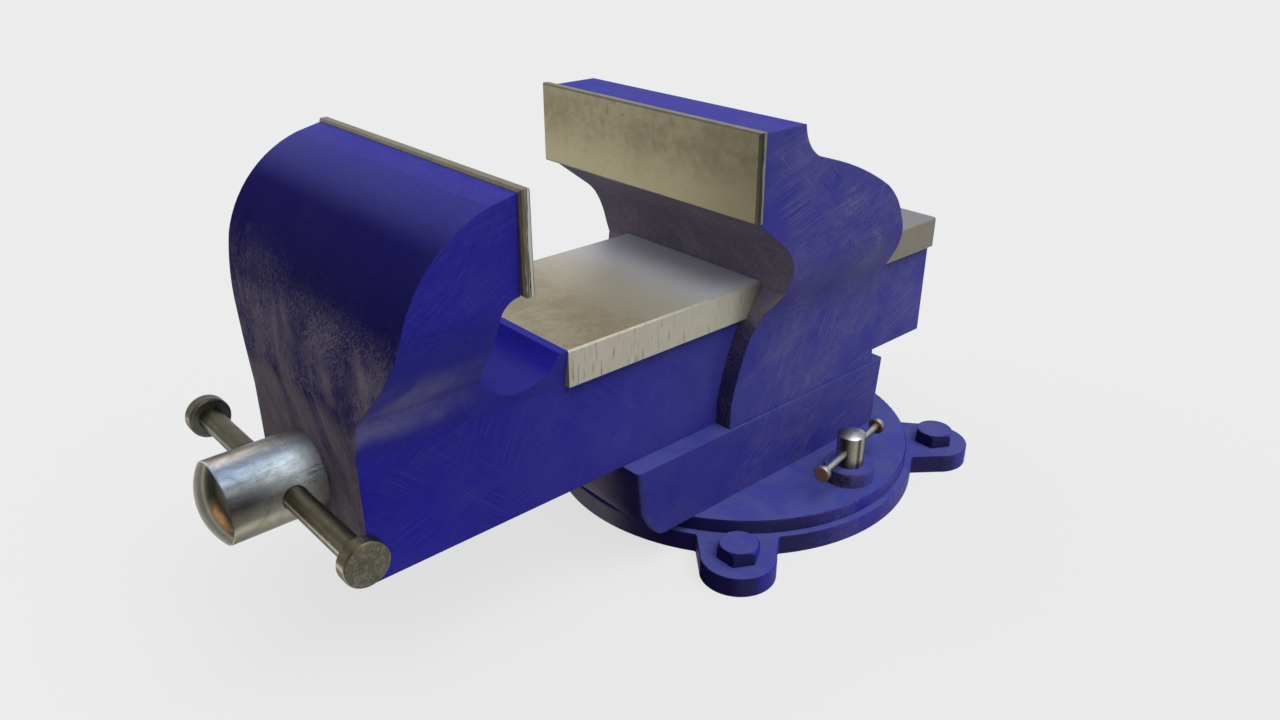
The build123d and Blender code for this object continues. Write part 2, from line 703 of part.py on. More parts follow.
with BuildPart() as handle_caps:
    with BuildSketch(Plane.YZ.offset(handle_length / 2)):
        with Locations((handle_y, screw_height)):
            Circle(handle_cap_diameter / 2)
    extrude(amount=-handle_cap_length)
    fillet(handle_caps.edges(), cap_round)
    with BuildSketch(Plane.YZ.offset(handle_length / 2 - cap_end_wall)):
        with Locations((handle_y, screw_height)):
            Circle(handle_diameter / 2 + locating_gap)
    extrude(amount=cap_end_wall - handle_cap_length, mode=Mode.SUBTRACT)
    mirror(about=Plane.YZ)
handle_caps.part.label = "handle_caps"
export_step(handle_caps.part, "parts/handle_caps.step")

# --- Lock screws, one on each side, with their tommy bars and T-nuts ---------------------------------
lock_dome_radius = (lock_head_radius**2 + lock_head_dome**2) / (2 * lock_head_dome)
lock_dome_angle = degrees(asin(lock_head_radius / lock_dome_radius))
for side, hand in (("left", -1), ("right", 1)):
    bar_angle = radians(90 + hand * lock_bar_turn)
    bar_line = Vector(cos(bar_angle), sin(bar_angle), 0)
    upright = Plane((hand * lock_x, lock_y, 0), x_dir=(1, 0, 0), z_dir=(0, -1, 0))
    crosswise = Plane((hand * lock_x, lock_y, lock_bar_z), z_dir=bar_line)

    with BuildPart() as lock_screw:
        with BuildSketch(upright):
            with BuildLine():
                CenterArc((0, lock_top - lock_dome_radius), lock_dome_radius, 90, -lock_dome_angle)
                Polyline(
                    (lock_head_radius, lock_top - lock_head_dome),
                    (lock_head_radius, lock_boss_top),
                    (lock_shank_diameter / 2, lock_boss_top),
                    (lock_shank_diameter / 2, t_nut_bottom),
                    (0, t_nut_bottom),
                    (0, lock_top),
                )
            make_face()
        revolve(axis=Axis((hand * lock_x, lock_y, 0), (0, 0, 1)))
        with BuildSketch(crosswise):
            Circle(lock_bar_diameter / 2 + running_gap)
        extrude(amount=far, both=True, mode=Mode.SUBTRACT)
    lock_screw.part.label = f"lock_screw_{side}"
    export_step(lock_screw.part, f"parts/lock_screw_{side}.step")

    with BuildPart() as lock_bar:
        with BuildSketch(crosswise):
            Circle(lock_bar_diameter / 2)
        extrude(amount=lock_bar_length / 2 - lock_cap_end_wall, both=True)
    lock_bar.part.label = f"lock_bar_{side}"
    export_step(lock_bar.part, f"parts/lock_bar_{side}.step")

    with BuildPart() as lock_caps:
        with BuildSketch(crosswise.offset(lock_bar_length / 2)):
            Circle(lock_cap_diameter / 2)
        extrude(amount=-lock_cap_length)
        fillet(lock_caps.edges(), lock_cap_round)
        with BuildSketch(crosswise.offset(lock_bar_length / 2 - lock_cap_end_wall)):
            Circle(lock_bar_diameter / 2 + locating_gap)
        extrude(amount=lock_cap_end_wall - lock_cap_length, mode=Mode.SUBTRACT)
        mirror(about=crosswise)
    lock_caps.part.label = f"lock_bar_caps_{side}"
    export_step(lock_caps.part, f"parts/lock_bar_caps_{side}.step")

with BuildPart() as t_nuts:
    for hand in (-1, 1):
        with BuildSketch(Plane.XY.offset(t_nut_bottom)):
            with Locations(Location((hand * lock_x, lock_y), hand * degrees(atan2(lock_y, lock_x)))):
                Rectangle(t_nut_width, t_nut_length)
                Circle(lock_shank_diameter / 2 + running_gap, mode=Mode.SUBTRACT)
        extrude(amount=t_nut_height)
t_nuts.part.label = "t_nuts"
export_step(t_nuts.part, "parts/t_nuts.step")
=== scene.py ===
import math
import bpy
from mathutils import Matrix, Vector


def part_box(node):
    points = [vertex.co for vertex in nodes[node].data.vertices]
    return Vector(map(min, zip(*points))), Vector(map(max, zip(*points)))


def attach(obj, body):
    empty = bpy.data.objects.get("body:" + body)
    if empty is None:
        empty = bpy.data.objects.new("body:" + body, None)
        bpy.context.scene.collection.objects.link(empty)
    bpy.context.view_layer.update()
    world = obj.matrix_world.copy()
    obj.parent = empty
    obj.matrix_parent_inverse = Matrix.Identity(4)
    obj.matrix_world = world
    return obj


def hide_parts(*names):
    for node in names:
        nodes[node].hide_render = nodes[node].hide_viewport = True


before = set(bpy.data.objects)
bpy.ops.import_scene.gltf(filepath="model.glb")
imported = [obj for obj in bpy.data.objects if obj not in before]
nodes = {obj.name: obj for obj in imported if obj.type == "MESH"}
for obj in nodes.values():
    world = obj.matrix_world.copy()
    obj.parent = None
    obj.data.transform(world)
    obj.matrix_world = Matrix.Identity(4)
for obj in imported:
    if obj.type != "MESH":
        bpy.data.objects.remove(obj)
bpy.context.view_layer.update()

from types import SimpleNamespace

import bmesh
import bpy
from mathutils import Matrix, Vector

scene = bpy.context.scene
scene.view_settings.view_transform = "Standard"

# --- Places that the looks go by, from the frame's boxes (metres) -----------------------
front_seat, front_outer = (corner.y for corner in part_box("front_jaw_plate"))
rear_outer, rear_seat = (corner.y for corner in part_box("rear_jaw_plate"))
screw_low, screw_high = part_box("lead_screw")
handle_low, handle_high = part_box("handle_caps")
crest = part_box("rear_jaw")[1].z
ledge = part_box("swivel_body")[1].z
bar_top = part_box("slide_bar")[1].z
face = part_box("sliding_jaw")[0].y
base_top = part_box("base_plate")[1].z
disc_thickness = 0.0078
disc_top = base_top + disc_thickness
plate_height = 0.034
plate_bottom = crest - plate_height
beam_end_low, beam_end_high = 0.122, 0.150
scoop_middle = front_seat + 0.0153
scoop_reach = 0.024


# --- Shader graphs ----------------------------------------------------------------------
class Nodes:
    """A node tree, written as nested calls."""

    def __init__(self, owner):
        owner.use_nodes = True
        self.tree = owner.node_tree
        self.tree.nodes.clear()

    def node(self, kind, inputs=None, **props):
        made = self.tree.nodes.new(kind)
        for key, value in props.items():
            setattr(made, key, value)
        for key, value in (inputs or {}).items():
            self.put(made.inputs[key], value)
        return made

    def put(self, socket, value):
        if isinstance(value, bpy.types.NodeSocket):
            self.tree.links.new(value, socket)
        else:
            socket.default_value = value

    def math(self, op, a, b=0.0, c=0.0):
        return self.node("ShaderNodeMath", {0: a, 1: b, 2: c}, operation=op).outputs[0]

    def plus(self, a, b):
        return self.math("ADD", a, b)

    def minus(self, a, b):
        return self.math("SUBTRACT", a, b)

    def size(self, value):
        return self.math("ABSOLUTE", value)

    def most(self, *values):
        out = values[0]
        for value in values[1:]:
            out = self.math("MAXIMUM", out, value)
        return out

    def times(self, *values):
        out = values[0]
        for value in values[1:]:
            out = self.math("MULTIPLY", out, value)
        return out


class Graph(Nodes):
    """A material's node tree, with the place on the piece and the way that the surface faces."""

    def __init__(self, name):
        self.mat = bpy.data.materials.new(name)
        super().__init__(self.mat)
        coords = self.node("ShaderNodeTexCoord").outputs
        self.place = coords["Object"]
        self.facing = coords["Normal"]
        self.x, self.y, self.z = self.node("ShaderNodeSeparateXYZ", {0: self.place}).outputs
        self.nx, self.ny, self.nz = self.node("ShaderNodeSeparateXYZ", {0: self.facing}).outputs

    def vector(self, op, a, b):
        return self.node("ShaderNodeVectorMath", {0: a, 1: b}, operation=op)

    def step(self, value, start, end, low=0.0, high=1.0):
        """A smooth step of value from start to end."""
        ends = {"From Min": start, "From Max": end, "To Min": low, "To Max": high}
        made = self.node("ShaderNodeMapRange", {"Value": value}, interpolation_type="SMOOTHSTEP")
        for name, at in ends.items():
            made.inputs[name].default_value = at
        return made.outputs[0]

    def fade(self, mask, off, on):
        """off where the mask is 0, on where it is 1."""
        return self.step(mask, 0.0, 1.0, off, on)

    def noise(self, size, detail, rough, seed, warp=0.0, place=None):
        """Noise with features of that size in metres."""
        spot = self.vector("ADD", place or self.place, (seed, seed * 0.7, seed * 1.3)).outputs[0]
        made = self.node("ShaderNodeTexNoise", {"Vector": spot})
        made.inputs["Scale"].default_value = 1.0 / size
        made.inputs["Detail"].default_value = detail
        made.inputs["Roughness"].default_value = rough
        made.inputs["Distortion"].default_value = warp
        return made.outputs["Fac"]

    def streaks(self, along, length, width, seed, detail=2.0):
        """Noise drawn out along a direction."""
        turn = Vector(along).to_track_quat("Z", "Y").to_euler()
        spot = self.node("ShaderNodeMapping", {"Vector": self.place}, vector_type="TEXTURE")
        spot.inputs["Location"].default_value = (seed, -seed, seed * 0.5)
        spot.inputs["Rotation"].default_value = turn
        spot.inputs["Scale"].default_value = (width, width, length)
        made = self.node("ShaderNodeTexNoise", {"Vector": spot.outputs[0]})
        made.inputs["Scale"].default_value = 1.0
        made.inputs["Detail"].default_value = detail
        return made.outputs["Fac"]

    def lines(self, streak, thin):
        """Fine lines where a streak noise crosses its middle."""
        return self.step(self.size(self.minus(streak, 0.5)), 0.0, thin, 1.0, 0.0)

    def mix(self, share, a, b):
        made = self.node("ShaderNodeMix", {"Factor": share}, data_type="RGBA")
        for socket, value in ((made.inputs[6], a), (made.inputs[7], b)):
            self.put(socket, value if isinstance(value, bpy.types.NodeSocket) else (*value, 1.0))
        return made.outputs[2]

    def shaded(self, share, color, shade):
        """The colour multiplied by a shade, by that share."""
        made = self.node("ShaderNodeMix", {"Factor": share}, data_type="RGBA", blend_type="MULTIPLY")
        self.put(made.inputs[6], color)
        self.put(made.inputs[7], (*shade, 1.0))
        return made.outputs[2]

    def ramp(self, value, stops):
        """Colours at the stops' values, from -1 to 1, blended between."""
        spot = self.math("MULTIPLY_ADD", value, 0.5, 0.5)
        made = self.node("ShaderNodeValToRGB", {"Fac": spot})
        held = made.color_ramp.elements
        while len(held) < len(stops):
            held.new(0.5)
        for index, (at, color) in enumerate(sorted(stops)):
            held[index].position = at * 0.5 + 0.5
            held[index].color = (*color, 1.0)
        return made.outputs["Color"]

    def along(self, direction):
        """How far the surface faces a direction, from -1 to 1."""
        return self.vector("DOT_PRODUCT", self.facing, direction).outputs["Value"]

    def painted_light_bands(self, across, stops):
        """Painted light, shade and reflections: light and dark bands round an axis, by how far the surface
        turns towards across.
        """
        return self.ramp(self.along(across), stops)

    def rounded(self, radius):
        """The surface's direction, with edges rounded by that radius."""
        return self.node("ShaderNodeBevel", {"Radius": radius}, samples=6).outputs[0]

    def edge(self, radius):
        """1 on the sharp edges, 0 on the flats."""
        flat = self.node("ShaderNodeNewGeometry").outputs["Normal"]
        alike = self.vector("DOT_PRODUCT", self.rounded(radius), flat).outputs["Value"]
        hardly_bent, fully_bent = 0.02, 0.25
        return self.step(self.minus(1.0, alike), hardly_bent, fully_bent)

    def finish(self, color, rough, metal, height, depth, radius=0.0008, specular=None):
        """The material, with relief of that depth and edges rounded by that radius."""
        shader = self.node("ShaderNodeBsdfPrincipled")
        self.put(shader.inputs["Base Color"], color)
        self.put(shader.inputs["Roughness"], rough)
        self.put(shader.inputs["Metallic"], metal)
        if specular is not None:
            self.put(shader.inputs["Specular IOR Level"], specular)
        bump = self.node("ShaderNodeBump", {"Height": height, "Normal": self.rounded(radius)})
        bump.inputs["Distance"].default_value = depth
        bump.inputs["Strength"].default_value = 1.0
        self.put(shader.inputs["Normal"], bump.outputs[0])
        self.node("ShaderNodeOutputMaterial", {"Surface": shader.outputs[0]})
        return self.mat


def darker(color, share):
    return tuple(share * part for part in color)


# --- Enamel -----------------------------------------------------------------------------
def scratched(g):
    """Hairline scratches in loose bundles, laid along the faces they are on."""
    on_side = g.step(g.size(g.nx), 0.55, 0.8)
    on_front = g.step(g.size(g.ny), 0.4, 0.7)
    on_top = g.step(g.size(g.nz), 0.55, 0.8)
    # Face, direction, length, width, seed
    sets = (
        (on_side, (0.0, 1.0, 0.30), 0.110, 0.0008, 1.3),
        (on_side, (0.0, 1.0, -0.9), 0.080, 0.0007, 4.1),
        (on_side, (0.0, 0.45, 1.0), 0.075, 0.0008, 7.7),
        (on_side, (0.0, 1.0, 0.75), 0.090, 0.0007, 10.2),
        (on_front, (1.0, 0.0, 0.9), 0.080, 0.0008, 2.2),
        (on_front, (0.75, 0.0, -1.0), 0.095, 0.0008, 5.4),
        (on_front, (0.12, 0.0, 1.0), 0.110, 0.0008, 8.6),
        (on_front, (0.55, 0.0, -1.0), 0.070, 0.0007, 12.9),
        (on_top, (1.0, 0.55, 0.0), 0.070, 0.0008, 3.3),
        (on_top, (0.6, -1.0, 0.0), 0.060, 0.0007, 6.5),
    )
    thin, bundle_size = 0.060, 0.045
    laid = []
    for where, along, length, width, seed in sets:
        line = g.lines(g.streaks(along, length, width, seed), thin)
        bundle = g.step(g.noise(bundle_size, 3.0, 0.6, seed), 0.42, 0.62)
        laid.append(g.times(where, line, bundle))
    return g.most(*laid)


def enamel_places(g):
    """Masks, from 0 to 1, of the places that wear or stain in their own way."""
    at = SimpleNamespace()
    at.sides = g.step(g.size(g.nx), 0.5, 0.8)
    at.top = g.step(g.nz, 0.70, 0.93)
    beyond_scoop = g.step(g.size(g.minus(g.y, scoop_middle)), scoop_reach - 0.005, scoop_reach)
    on_block = g.step(g.z, ledge + 0.010, ledge)
    at.front = g.times(g.step(g.ny, -0.05, -0.50), g.most(beyond_scoop, on_block))
    front_jaw = g.step(g.y, front_seat + 0.010, front_seat - 0.020)
    jaw_front = g.times(at.front, front_jaw)
    left = g.step(g.x, 0.030, -0.045)
    at.jaw_middle = g.times(jaw_front, left, g.step(g.z, crest - 0.012, crest - 0.045))
    at.jaw_lower = g.times(jaw_front, g.step(g.z, crest - 0.028, crest - 0.066))
    at.beam_end = g.times(at.front, g.step(g.y, face + 0.020, face + 0.002),
                          g.step(g.z, beam_end_high, beam_end_low))
    throat = g.times(at.front, g.step(g.y, rear_seat - 0.012, rear_seat),
                     g.step(g.z, plate_bottom, plate_bottom - 0.008))
    beside_bar, near_bar_top = bar_top - 0.030, bar_top - 0.008
    at.throat = g.times(throat, g.step(g.z, beside_bar, near_bar_top, 0.45, 1.0))
    at.throat_over_bar = g.times(at.throat, g.step(g.z, beside_bar, near_bar_top, 0.10, 1.0))
    at.toe = g.times(at.front, g.step(g.z, ledge + 0.010, ledge - 0.010),
                     g.step(g.x, 0.015, 0.050, 1.0, 0.08))
    at.jaw_foot = g.times(at.sides, front_jaw, g.step(g.z, bar_top + 0.026, bar_top + 0.010),
                          g.step(g.z, bar_top - 0.016, bar_top - 0.004))
    at.rear_side = g.times(at.sides, g.step(g.y, rear_seat - 0.022, rear_seat + 0.030))
    at.towards_rear = g.step(g.y, front_seat - 0.045, rear_seat + 0.030)
    below_disc_top = g.step(g.z, disc_top + 0.001, disc_top - 0.001)
    at.base_right = g.times(at.front, below_disc_top, g.step(g.x, 0.0, 0.030))
    return at


def enamel_wear(g, at, hair, patches, grain):
    """How bare the casting is, from 0 (paint) to 1 (bare)."""
    # The share of full wear in each place
    zone = g.most(
        g.times(at.jaw_middle, 0.46),
        g.times(at.jaw_lower, 0.70),
        at.beam_end,
        g.times(at.throat, 0.90),
        at.toe,
        g.times(at.jaw_foot, 0.36),
        g.times(at.rear_side, 0.44),
        g.times(at.sides, 0.20),
        g.times(at.top, 0.22),
    )
    rubbed = g.plus(patches, g.times(g.minus(grain, 0.5), g.fade(at.front, 0.35, 0.20)))
    rubbed = g.plus(rubbed, g.times(hair, g.fade(at.front, 0.12, 0.05)))
    above = g.minus(rubbed, g.minus(0.88, g.times(zone, 0.50)))
    crisp = g.times(g.step(above, -0.03, 0.13), g.fade(at.front, 1.0, 0.30))
    soft = g.times(g.step(above, -0.18, 0.24), at.front)
    upper_front = g.times(at.front, g.step(g.z, crest - 0.050, crest - 0.030))
    lines = g.times(hair, g.step(zone, 0.15, 0.60, 0.14, 1.0), g.fade(upper_front, 1.0, 0.35))
    worn = g.most(
        g.times(g.most(crisp, soft), 0.90),
        g.times(lines, 0.72),
        g.times(at.throat_over_bar, g.step(grain, 0.3, 0.7, 0.62, 0.86)),
        g.times(at.toe, g.step(grain, 0.3, 0.7, 0.75, 0.95)),
        g.times(at.jaw_foot, g.step(patches, 0.35, 0.65, 0.15, 0.55)),
    )
    return g.times(worn, g.fade(at.base_right, 1.0, 0.30))


def enamel_paint(g, at, tone, patches, grain):
    """Blue paint, with painted shade darkening the front faces, and haze on the rear sides and low down."""
    deep, blue, front_shade = (0.015, 0.012, 0.290), (0.021, 0.018, 0.335), (0.011, 0.0085, 0.060)
    hazy, dusty, handled = (0.078, 0.078, 0.315), (0.075, 0.085, 0.300), (0.030, 0.028, 0.235)
    rubbed_edge_highlight = (0.060, 0.058, 0.34)
    paint = g.mix(tone, deep, blue)
    # Painted shade: the front faces are darkened almost all over.
    painted_front_shade = g.times(at.front, g.step(g.z, crest - 0.007, crest - 0.060, 0.90, 0.96))
    paint = g.mix(painted_front_shade, paint, front_shade)
    cloud = g.step(patches, 0.35, 0.65, 0.7, 1.2)
    low_down = g.step(g.z, ledge + 0.012, ledge - 0.030)
    haze = g.most(g.times(at.towards_rear, 0.56), g.times(low_down, 0.55))
    haze = g.times(haze, g.step(g.z, disc_top - 0.001, disc_top + 0.001, 0.15, 1.0))
    paint = g.mix(g.times(at.sides, haze, cloud), paint, hazy)
    low_top = g.times(at.top, g.step(g.z, ledge + 0.040, ledge - 0.010, 0.15, 1.0))
    paint = g.mix(g.times(low_top, cloud), paint, dusty)
    paint = g.mix(g.times(g.minus(at.top, low_top), 0.6), paint, handled)
    # Lighter edges: partly rubbed paint, partly a painted highlight.
    edge = g.times(g.edge(0.0009), g.step(grain, 0.38, 0.58, 0.10, 0.8))
    return g.mix(g.times(edge, 0.5), paint, rubbed_edge_highlight)


def enamel_bare(g, at, hair, grain):
    """The rubbed casting: brown on the front faces, violet grey elsewhere, lighter in scratches."""
    light_brown, dark_brown = (0.165, 0.130, 0.135), (0.120, 0.092, 0.100)
    grey_brown, brown_scratch = (0.200, 0.168, 0.215), (0.250, 0.222, 0.245)
    violet, pale_violet, violet_scratch = (0.150, 0.136, 0.255), (0.270, 0.250, 0.340), (0.225, 0.212, 0.385)
    scratch = g.times(hair, 0.60)
    fronts = g.mix(grain, light_brown, dark_brown)
    fronts = g.mix(g.most(at.throat, at.toe), fronts, grey_brown)
    fronts = g.mix(scratch, fronts, brown_scratch)
    others = g.mix(at.jaw_foot, violet, pale_violet)
    others = g.mix(scratch, others, violet_scratch)
    return g.mix(at.front, others, fronts)


def enamel():
    """Blue enamel, worn through to the casting where work and hands have rubbed it."""
    g = Graph("enamel_blue")
    at = enamel_places(g)
    hair = scratched(g)
    grain = g.noise(0.0030, 4.0, 0.7, 3.0)
    drawn = g.streaks((0.75, 0.0, -1.0), 0.050, 0.0085, 4.0, 6.0)
    patches = g.noise(0.030, 6.0, 0.68, 11.0, 0.6)
    patches = g.plus(g.times(patches, g.fade(at.front, 1.0, 0.40)), g.times(drawn, at.front, 0.60))
    tone = g.step(g.noise(0.07, 4.0, 0.6, 2.0), 0.3, 0.7)
    worn = enamel_wear(g, at, hair, patches, grain)
    color = g.mix(worn, enamel_paint(g, at, tone, patches, grain), enamel_bare(g, at, hair, grain))
    rough = g.plus(g.fade(tone, 0.44, 0.50), g.times(worn, 0.12))
    orange_peel = g.times(g.noise(0.0022, 3.0, 0.6, 9.0), 0.30)
    height = g.minus(orange_peel, g.times(hair, 0.5))
    gloss = g.math("MULTIPLY_ADD", at.sides, 0.08, g.times(at.top, 0.03))
    return g.finish(color, rough, g.times(worn, 0.25), height, 0.00010, specular=gloss)


# --- Ground and rolled steel --------------------------------------------------------------
def worked_steel(g, light, dark, stain, along, pits, seed):
    """Colour, tone and relief of ground or rolled steel: grinding lines, brown stains and pits."""
    fine = g.streaks(along, 0.030, 0.00045, seed, 3.0)
    broad = g.noise(0.035, 6.0, 0.66, seed + 1.0, 0.4)
    mottle = g.noise(0.006, 5.0, 0.7, seed + 2.0)
    specks = g.step(g.noise(0.0016, 3.0, 0.6, seed + 3.0), 0.63, 0.71)
    tone = g.plus(g.times(broad, 0.55), g.times(mottle, 0.45))
    color = g.mix(g.step(tone, 0.38, 0.62), dark, light)
    stained = g.step(g.plus(broad, g.times(g.minus(mottle, 0.5), 0.8)), 0.58, 0.76)
    color = g.mix(g.times(stained, 0.68), color, stain)
    color = g.mix(g.times(specks, pits), color, darker(dark, 0.35))
    relief = g.plus(g.times(fine, 0.5), g.times(specks, -0.8))
    return color, tone, relief


def jaw_plate(name, seat, outer, ends, back, seed):
    """A jaw plate: its ground face, chamfers painted nearly black as shade, and ends striped from seat to
    outer face in painted highlight and shade.
    """
    g = Graph(name)
    light, dark, stain = (0.375, 0.330, 0.205), (0.265, 0.228, 0.135), (0.150, 0.120, 0.068)
    bright, top_brown, back_brown = (0.480, 0.425, 0.255), (0.115, 0.100, 0.062), (0.105, 0.078, 0.045)
    nearly_black = (0.026, 0.021, 0.013)
    color, tone, relief = worked_steel(g, light, dark, stain, (1.0, 0.0, 0.12), 0.55, seed)
    color = g.mix(g.step(g.z, crest - 0.010, crest - 0.036, 0.0, 0.75), color, bright)
    wobble = g.times(g.minus(g.streaks((0.0, 0.0, 1.0), 0.012, 0.0012, seed), 0.5), 0.45)
    across = g.math("DIVIDE", g.minus(g.y, seat), outer - seat)
    # The ends' stripes are painted highlight and shade.
    painted_end_stripes = g.ramp(g.math("MULTIPLY_ADD", g.plus(across, wobble), 2.0, -1.0), ends)
    color = g.mix(g.step(g.size(g.nx), 0.80, 0.90), color, painted_end_stripes)
    color = g.mix(g.times(g.step(g.nz, 0.80, 0.90), 0.75), color, top_brown)
    if back:
        color = g.mix(g.times(g.step(g.ny, -0.85, -0.92), 0.85), color, back_brown)
    # Painted shade: the slanted chamfers are painted nearly black.
    painted_chamfer_shade = g.math("COMPARE", g.size(g.ny), 0.70, 0.20)
    color = g.mix(g.times(painted_chamfer_shade, 0.88), color, nearly_black)
    shine = g.step(tone, 0.3, 0.7, 0.46, 0.34)
    return g.finish(color, shine, 0.72, relief, 0.00009, 0.0003)


def front_jaw_plate():
    """The front jaw's plate; its ends' stripes of painted highlight and shade run from the seat, -1, to the
    outer face, 1.
    """
    olive, glint, black = (0.115, 0.103, 0.070), (0.32, 0.31, 0.26), (0.022, 0.018, 0.012)
    pale = (0.47, 0.47, 0.43)
    # On the ends, the black lines are painted shade, and the glint and pale strips are painted highlights.
    ends = (
        (-1.0, black), (-0.76, black), (-0.68, glint), (-0.60, olive), (-0.12, olive), (-0.03, glint),
        (0.05, black), (0.14, black), (0.22, pale), (0.80, pale), (0.90, black),
    )
    return jaw_plate("steel_front_plate", front_seat, front_outer, ends, True, 1.0)


def rear_jaw_plate():
    """The rear jaw's plate, striped the same way in painted highlight and shade."""
    rust, worn, black = (0.16, 0.13, 0.09), (0.190, 0.185, 0.165), (0.022, 0.018, 0.012)
    # On the ends, the worn grey strip is a painted highlight and the black line is painted shade.
    ends = ((-1.0, rust), (-0.84, worn), (-0.20, worn), (-0.06, black), (1.0, black))
    return jaw_plate("steel_rear_plate", rear_seat, rear_outer, ends, False, 1.6)


def slide_bar_steel():
    """The slide bar: khaki in front; painted light on its top and sides towards the rear jaw, cold grey
    painted light under it, painted shade on the far end, and painted highlights on its edges.
    """
    g = Graph("steel_slide_bar")
    light, dark, stain = (0.335, 0.296, 0.200), (0.245, 0.210, 0.134), (0.150, 0.105, 0.065)
    sandy, painted_cold_grey, painted_side_light = (0.560, 0.530, 0.440), (0.680, 0.700, 0.750), (0.620, 0.600, 0.510)
    far_side, far_top = (0.200, 0.182, 0.142), (0.078, 0.086, 0.097)
    run_brown, edge_highlight = (0.130, 0.105, 0.070), (0.62, 0.66, 0.72)
    color, tone, relief = worked_steel(g, light, dark, stain, (0.9, 0.3, 0.0), 0.5, 5.0)
    sides = g.step(g.size(g.nx), 0.5, 0.8)
    top = g.step(g.nz, 0.6, 0.9)
    # Painted light: a paler top ahead of the rear jaw, where its shadow falls.
    painted_light_ahead = g.times(top, g.step(g.y, rear_seat - 0.062, rear_seat - 0.018))
    color = g.mix(g.times(painted_light_ahead, 0.70), color, sandy)
    # Painted light: a cold grey on the top under the rear jaw, which is also less metallic there.
    cold = g.times(top, g.step(g.y, rear_seat - 0.030, rear_seat + 0.010))
    color = g.mix(g.times(cold, 0.80), color, painted_cold_grey)
    # Painted shade: the far end is darker, darkest on top.
    painted_far_shade = g.step(g.y, rear_seat + 0.030, rear_seat + 0.100)
    color = g.mix(g.times(painted_far_shade, 0.85), color, g.mix(top, far_side, far_top))
    # Painted light: paler sides towards the rear jaw.
    from_front = g.step(g.y, front_seat + 0.015, front_seat + 0.050)
    to_rear = g.step(g.y, rear_seat + 0.040, rear_seat + 0.010)
    color = g.mix(g.times(sides, from_front, to_rear, 0.60), color, painted_side_light)
    runs = g.step(g.streaks((0.0, 0.0, 1.0), 0.010, 0.0016, 2.7), 0.56, 0.70)
    fewer_to_rear = g.step(g.y, rear_seat, front_seat + 0.020, 0.35, 0.75)
    color = g.mix(g.times(sides, runs, fewer_to_rear), color, run_brown)
    # Painted highlight on the edges.
    color = g.mix(g.times(g.edge(0.0008), 0.75), color, edge_highlight)
    shine = g.step(tone, 0.3, 0.7, 0.50, 0.38)
    metal = g.math("MULTIPLY_ADD", cold, -0.25, 0.52)
    return g.finish(color, shine, metal, relief, 0.00009, 0.0005)


# --- Turned steel -------------------------------------------------------------------------
def turned_steel(g, color, stain, axis, rough, seed, worn):
    """Steel turned on a lathe, over the given colour: rings, drag marks, blots and flecks, and painted
    highlights on the edges.
    """
    along = {"X": (1.0, 0.0, 0.0), "Y": (0.0, 1.0, 0.0), "Z": (0.0, 0.0, 1.0)}[axis]
    squash = tuple(1.0 if part else 0.03 for part in along)
    rings = g.noise(0.0006, 2.0, 0.6, seed, place=g.vector("MULTIPLY", g.place, squash).outputs[0])
    drag = g.lines(g.streaks(along, 0.012, 0.0006, seed + 0.4), 0.03)
    blots = g.noise(0.012, 6.0, 0.7, seed + 1.1, 0.8)
    fleck = g.step(g.noise(0.0018, 3.0, 0.6, seed + 2.3), 0.58, 0.68)
    dull, edge_highlight = (0.62, 0.60, 0.55), (0.42, 0.40, 0.35)
    color = g.shaded(g.step(blots, 0.40, 0.62, 0.0, 0.55), color, dull)
    color = g.mix(g.times(g.step(blots, 0.56, 0.72), worn), color, stain)
    color = g.mix(g.times(fleck, 0.55 * worn), color, darker(stain, 0.4))
    # Painted highlight on the edges.
    color = g.mix(g.times(g.edge(0.0006), 0.35), color, edge_highlight)
    shine = g.plus(g.step(blots, 0.3, 0.7, rough, rough + 0.14), g.times(drag, 0.08))
    height = g.plus(rings, g.times(drag, 0.6))
    return g.finish(color, shine, 0.96, height, 0.00003, 0.0005)


def screw_dome(g):
    """The screw's domed end in painted reflections: a pale rim, then khaki and black, with a coppery painted
    warm reflection.
    """
    across, up = (0.85, 0.0, 0.53), (-0.53, 0.0, 0.85)
    # Painted reflections across the dome, by how far it turns towards across.
    dome = g.painted_light_bands(across, (
        (-0.25, (0.10, 0.09, 0.06)), (-0.18, (0.40, 0.37, 0.28)), (-0.08, (0.25, 0.235, 0.175)),
        (0.10, (0.14, 0.13, 0.095)), (0.20, (0.10, 0.095, 0.068)), (0.28, (0.25, 0.235, 0.175)),
        (0.34, (0.05, 0.052, 0.032)), (0.40, (0.010, 0.011, 0.007)), (0.50, (0.014, 0.014, 0.009)),
        (0.61, (0.10, 0.09, 0.06)),
    ))
    # A painted warm reflection: a coppery spot on the dome.
    spot_across, spot_up, warm_reflection = 0.40, -0.22, (0.38, 0.20, 0.08)
    spot = g.times(
        g.step(g.size(g.minus(g.along(across), spot_across)), 0.13, 0.0),
        g.step(g.size(g.minus(g.along(up), spot_up)), 0.34, 0.02),
        g.step(g.noise(0.004, 4.0, 0.7, 6.0), 0.35, 0.65, 0.7, 1.5),
    )
    return g.mix(spot, dome, warm_reflection)


